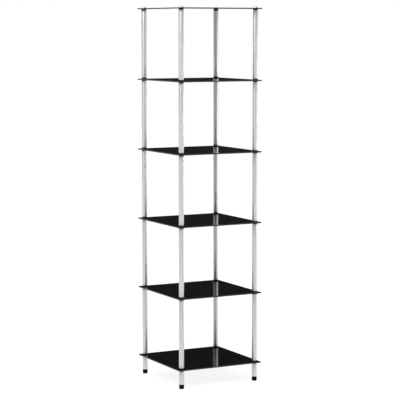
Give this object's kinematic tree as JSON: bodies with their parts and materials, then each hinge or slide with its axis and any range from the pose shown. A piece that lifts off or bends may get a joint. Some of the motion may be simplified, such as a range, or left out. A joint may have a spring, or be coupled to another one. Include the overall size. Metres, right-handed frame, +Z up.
{
  "type": "open glass display tower",
  "caption": "Tall open display tower of square black glass shelves on chromed tube columns, with plastic washers at the glass, dome cap nuts on top and screw-in levelling feet.",
  "frame": {"origin": "on the floor, under the middle of the square plan", "axes": "+Z up along the columns, +X to the right, front towards -Y"},
  "size_m": [0.4, 0.4, 1.623],
  "materials": {
    "black_glass": "opaque black tempered glass, polished faces, ground edges",
    "chromed_tube": "bright chrome plate",
    "chromed_cap": "bright chrome plate",
    "black_nylon": "moulded, satin",
    "black_rubber": "matt",
    "foot_plastic": "moulded, satin",
    "zinc_steel": "bright zinc plate"
  },
  "bodies": {
    "tower": {"glass_shelf_1": "black_glass", "glass_shelf_2": "black_glass", "glass_shelf_3": "black_glass", "glass_shelf_4": "black_glass", "glass_shelf_5": "black_glass", "glass_shelf_6": "black_glass", "leg_tube_front_left": "chromed_tube", "leg_tube_front_right": "chromed_tube", "leg_tube_back_left": "chromed_tube", "leg_tube_back_right": "chromed_tube", "upright_tube_1_front_left": "chromed_tube", "upright_tube_1_front_right": "chromed_tube", "upright_tube_1_back_left": "chromed_tube", "upright_tube_1_back_right": "chromed_tube", "upright_tube_2_front_left": "chromed_tube", "upright_tube_2_front_right": "chromed_tube", "upright_tube_2_back_left": "chromed_tube", "upright_tube_2_back_right": "chromed_tube", "upright_tube_3_front_left": "chromed_tube", "upright_tube_3_front_right": "chromed_tube", "upright_tube_3_back_left": "chromed_tube", "upright_tube_3_back_right": "chromed_tube", "upright_tube_4_front_left": "chromed_tube", "upright_tube_4_front_right": "chromed_tube", "upright_tube_4_back_left": "chromed_tube", "upright_tube_4_back_right": "chromed_tube", "upright_tube_5_front_left": "chromed_tube", "upright_tube_5_front_right": "chromed_tube", "upright_tube_5_back_left": "chromed_tube", "upright_tube_5_back_right": "chromed_tube", "shelf_washers_1": "black_nylon", "shelf_washers_2": "black_nylon", "shelf_washers_3": "black_nylon", "shelf_washers_4": "black_nylon", "shelf_washers_5": "black_nylon", "shelf_washers_6": "black_nylon", "foot_inserts": "zinc_steel", "tube_inserts_1": "zinc_steel", "tube_inserts_2": "zinc_steel", "tube_inserts_3": "zinc_steel", "tube_inserts_4": "zinc_steel", "tube_inserts_5": "zinc_steel", "tube_inserts_6": "zinc_steel", "joining_studs_1": "zinc_steel", "joining_studs_2": "zinc_steel", "joining_studs_3": "zinc_steel", "joining_studs_4": "zinc_steel", "joining_studs_5": "zinc_steel", "joining_studs_6": "zinc_steel", "cap_gaskets": "black_rubber", "cap_nuts": "chromed_cap"},
    "levelling_foot_front_left": {"foot_front_left": "foot_plastic", "foot_stud_front_left": "zinc_steel"},
    "levelling_foot_front_right": {"foot_front_right": "foot_plastic", "foot_stud_front_right": "zinc_steel"},
    "levelling_foot_back_left": {"foot_back_left": "foot_plastic", "foot_stud_back_left": "zinc_steel"},
    "levelling_foot_back_right": {"foot_back_right": "foot_plastic", "foot_stud_back_right": "zinc_steel"}
  },
  "joints": [
    {"name": "foot_screw_front_left", "type": "slide", "parent": "tower", "child": "levelling_foot_front_left", "axis": [0, 0, -1], "range_m": [0, 0.008]},
    {"name": "foot_screw_front_right", "type": "slide", "parent": "tower", "child": "levelling_foot_front_right", "axis": [0, 0, -1], "range_m": [0, 0.008]},
    {"name": "foot_screw_back_left", "type": "slide", "parent": "tower", "child": "levelling_foot_back_left", "axis": [0, 0, -1], "range_m": [0, 0.008]},
    {"name": "foot_screw_back_right", "type": "slide", "parent": "tower", "child": "levelling_foot_back_right", "axis": [0, 0, -1], "range_m": [0, 0.008]}
  ]
}
